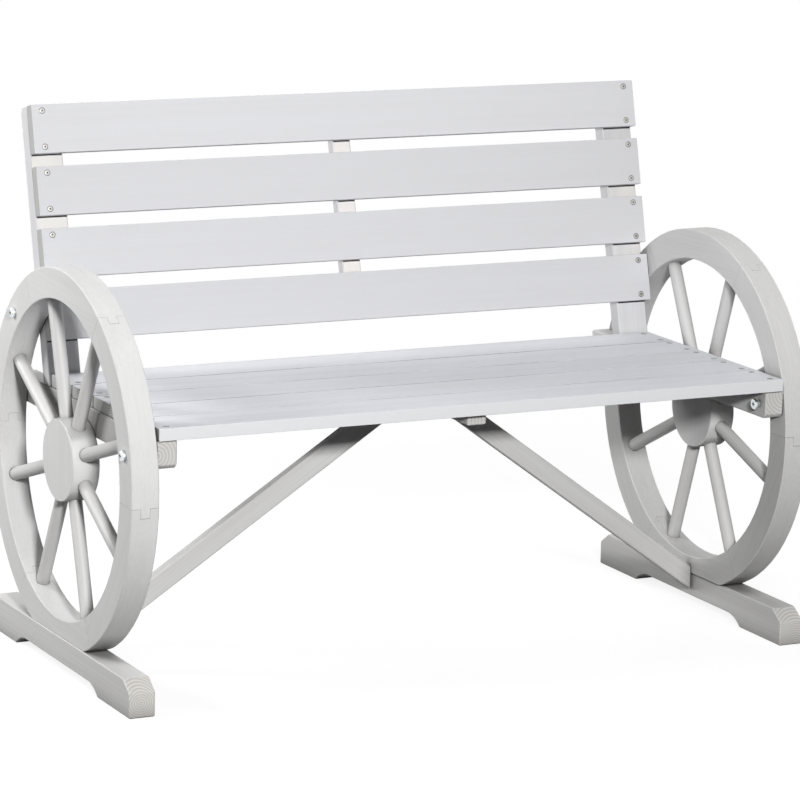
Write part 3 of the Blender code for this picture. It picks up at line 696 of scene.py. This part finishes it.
def screw_template():
    """One countersunk screw head that points to +Z, with its seat and cross recess."""
    bm = bmesh.new()
    tip = circle(bm, SCREW_TIP_R, -SCREW_DEPTH)
    sink = circle(bm, SCREW_SINK_R, SCREW_LIFT)
    root = circle(bm, SCREW_HEAD_R, SCREW_LIFT)
    rim = circle(bm, SCREW_HEAD_R, SCREW_RIM_HEIGHT)
    crown = circle(bm, SCREW_CROWN_R, SCREW_HEIGHT)
    bm.faces.new(reversed(tip)).material_index = RECESS_SLOT
    skirt(bm, tip, sink, RECESS_SLOT)
    skirt(bm, sink, root, RECESS_SLOT)
    skirt(bm, root, rim, HEAD_SLOT)
    skirt(bm, rim, crown, HEAD_SLOT)
    outline = cross_outline()
    mouth = [bm.verts.new((point.x, point.y, SCREW_HEIGHT)) for point in outline]
    floor = [bm.verts.new((point.x, point.y, SCREW_LIFT)) for point in outline]
    skirt(bm, floor, mouth, RECESS_SLOT)
    bm.faces.new(floor).material_index = RECESS_SLOT
    loops = [bm.edges.get((ring[i - 1], ring[i])) for ring in (crown, mouth) for i in range(len(ring))]
    bmesh.ops.triangle_fill(bm, use_beauty=True, edges=loops)
    bmesh.ops.recalc_face_normals(bm, faces=bm.faces)
    mesh = bpy.data.meshes.new("screw")
    bm.to_mesh(mesh)
    bm.free()
    return mesh


def add_screws(name, template, finishes, seats):
    """One piece of several screws, each at a (point, normal) seat with its own turn."""
    bm = bmesh.new()
    for point, normal in seats:
        turn = Matrix.Rotation(draw.uniform(0.0, math.pi / 2), 4, "Z")
        upright = normal.to_track_quat("Z", "Y").to_matrix().to_4x4()
        screw = template.copy()
        screw.transform(Matrix.Translation(point) @ upright @ turn)
        bm.from_mesh(screw)
        bpy.data.meshes.remove(screw)
    mesh = bpy.data.meshes.new(name)
    bm.to_mesh(mesh)
    bm.free()
    for finish in finishes:
        mesh.materials.append(finish)
    piece = link_object(name, mesh)
    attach(piece, "root")


def slat_seats(slats, normal, along, inset):
    """Two screws near each end of every slat."""
    seats = []
    for slat in slats:
        low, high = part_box(slat)
        for end_x in (low.x + inset, high.x - inset):
            for step in (-SCREW_PAIR / 2, SCREW_PAIR / 2):
                point = middle(slat) + along * step
                point.x = end_x
                seats.append((on_face(slat, normal, point), normal))
    return seats


def batten_seats(batten, slats, normal):
    """One screw through the batten into the middle of every slat."""
    return [(on_face(batten, normal, middle(slat)), normal) for slat in slats]


def build_screws():
    """The small wood screws of the slats and the two battens."""
    template = screw_template()
    finishes = [zinc_material("screw_zinc", SCREW_PLATE), recess_shade_material()]
    for name, seats in (
            ("back_slat_screws", slat_seats(BACK_SLATS, BACK_FRONT, POST_UP, BACK_SCREW_INSET)),
            ("seat_slat_screws", slat_seats(SEAT_SLATS, WORLD_Z, WORLD_Y, SEAT_SCREW_INSET)),
            ("back_batten_screws", batten_seats("back_batten", BACK_SLATS, -BACK_FRONT)),
            ("seat_batten_screws", batten_seats("seat_batten", SEAT_SLATS, -WORLD_Z))):
        add_screws(name, template, finishes, seats)
    bpy.data.meshes.remove(template)


def seen_ray(graph):
    """1 for rays that show the background: from the camera, in gloss and through glass."""
    path = graph.add("ShaderNodeLightPath")
    gloss = graph.math("MAXIMUM", path.outputs["Is Glossy Ray"], path.outputs["Is Transmission Ray"])
    return graph.math("MAXIMUM", path.outputs["Is Camera Ray"], gloss)


def floor_material():
    """White that keeps a soft shadow by the bench and is plain farther out."""
    material = bpy.data.materials.new("floor_white")
    graph = cleared_graph(material)
    place = graph.add("ShaderNodeTexCoord").outputs["Object"]
    far = graph.smooth(graph.length(place), *FLOOR_FADE)
    bounce = graph.add("ShaderNodeBsdfDiffuse", {"Color": FLOOR_BOUNCE}).outputs[0]
    lit = graph.add("ShaderNodeBsdfDiffuse", {"Color": graph.mix(far, FLOOR_LIT, BLACK)}).outputs[0]
    strength = graph.total(FLOOR_GLOW, [(far, 1.0 - FLOOR_GLOW)])
    glow = graph.add("ShaderNodeEmission", {"Strength": strength}).outputs[0]
    seen = graph.add("ShaderNodeAddShader", {0: lit, 1: glow}).outputs[0]
    surface = graph.add("ShaderNodeMixShader", {0: seen_ray(graph), 1: bounce, 2: seen}).outputs[0]
    graph.add("ShaderNodeOutputMaterial", {"Surface": surface})
    return material


def build_floor():
    """The plain white floor, just under the feet."""
    mesh = bpy.data.meshes.new("floor")
    points = [(x * FLOOR_HALF, y * FLOOR_HALF, -FLOOR_DROP) for x, y in FLOOR_CORNERS]
    mesh.from_pydata(points, [], [(0, 1, 2, 3)])
    mesh.materials.append(floor_material())
    floor = link_object("floor", mesh)


def build_world():
    """White where the camera sees it, and soft light that comes mostly from above."""
    world = bpy.data.worlds.new("studio")
    bpy.context.scene.world = world
    graph = cleared_graph(world)
    way = graph.add("ShaderNodeTexCoord").outputs["Generated"]
    share = graph.smooth(graph.dot(way, AMBIENT_FROM), *AMBIENT_BLEND)
    light = graph.add("ShaderNodeBackground", {"Color": graph.mix(share, AMBIENT_DARK, AMBIENT_LIGHT)})
    white = graph.add("ShaderNodeBackground", {"Color": WHITE})
    mixed = graph.add("ShaderNodeMixShader", {0: seen_ray(graph), 1: light.outputs[0], 2: white.outputs[0]})
    graph.add("ShaderNodeOutputWorld", {"Surface": mixed.outputs[0]})


def add_softbox(box):
    """Hang one soft lamp and point it at its aim."""
    lamp = bpy.data.lights.new(box.name, "AREA")
    lamp.shape = "RECTANGLE"
    lamp.size = box.width
    lamp.size_y = box.height
    way = Vector(box.aim) - Vector(box.place)
    lamp.energy = box.exposure * math.pi ** 2 * way.length_squared
    obj = link_object(box.name, lamp)
    obj.location = box.place
    obj.rotation_euler = way.to_track_quat("-Z", "Y").to_euler()
    obj.visible_glossy = box.in_gloss


def build_lights():
    """Soft studio light from the front, the left and above, and weaker light from behind and the right."""
    build_world()
    for box in SOFTBOXES:
        add_softbox(box)


def build_camera():
    """The camera at the photograph's viewing angle."""
    flat = math.cos(CAMERA_ELEVATION)
    away = Vector((math.sin(CAMERA_AZIMUTH) * flat, -math.cos(CAMERA_AZIMUTH) * flat,
                   math.sin(CAMERA_ELEVATION)))
    level = WORLD_Z.cross(away).normalized()
    upright = away.cross(level)
    right = math.cos(CAMERA_ROLL) * level + math.sin(CAMERA_ROLL) * upright
    up = away.cross(right)
    camera = bpy.data.cameras.new("camera")
    camera.sensor_width = CAMERA_SENSOR
    camera.lens = CAMERA_FOCAL_PX / FRAME_PX * CAMERA_SENSOR
    obj = link_object("camera", camera)
    turn = Matrix((right, up, away)).transposed().to_4x4()
    obj.matrix_world = Matrix.Translation(CAMERA_TARGET + CAMERA_DISTANCE * away) @ turn
    bpy.context.scene.camera = obj


build_camera()
dress_frame()
build_screws()
build_floor()
build_lights()
bpy.context.scene.view_settings.view_transform = "Standard"
bpy.context.view_layer.update()
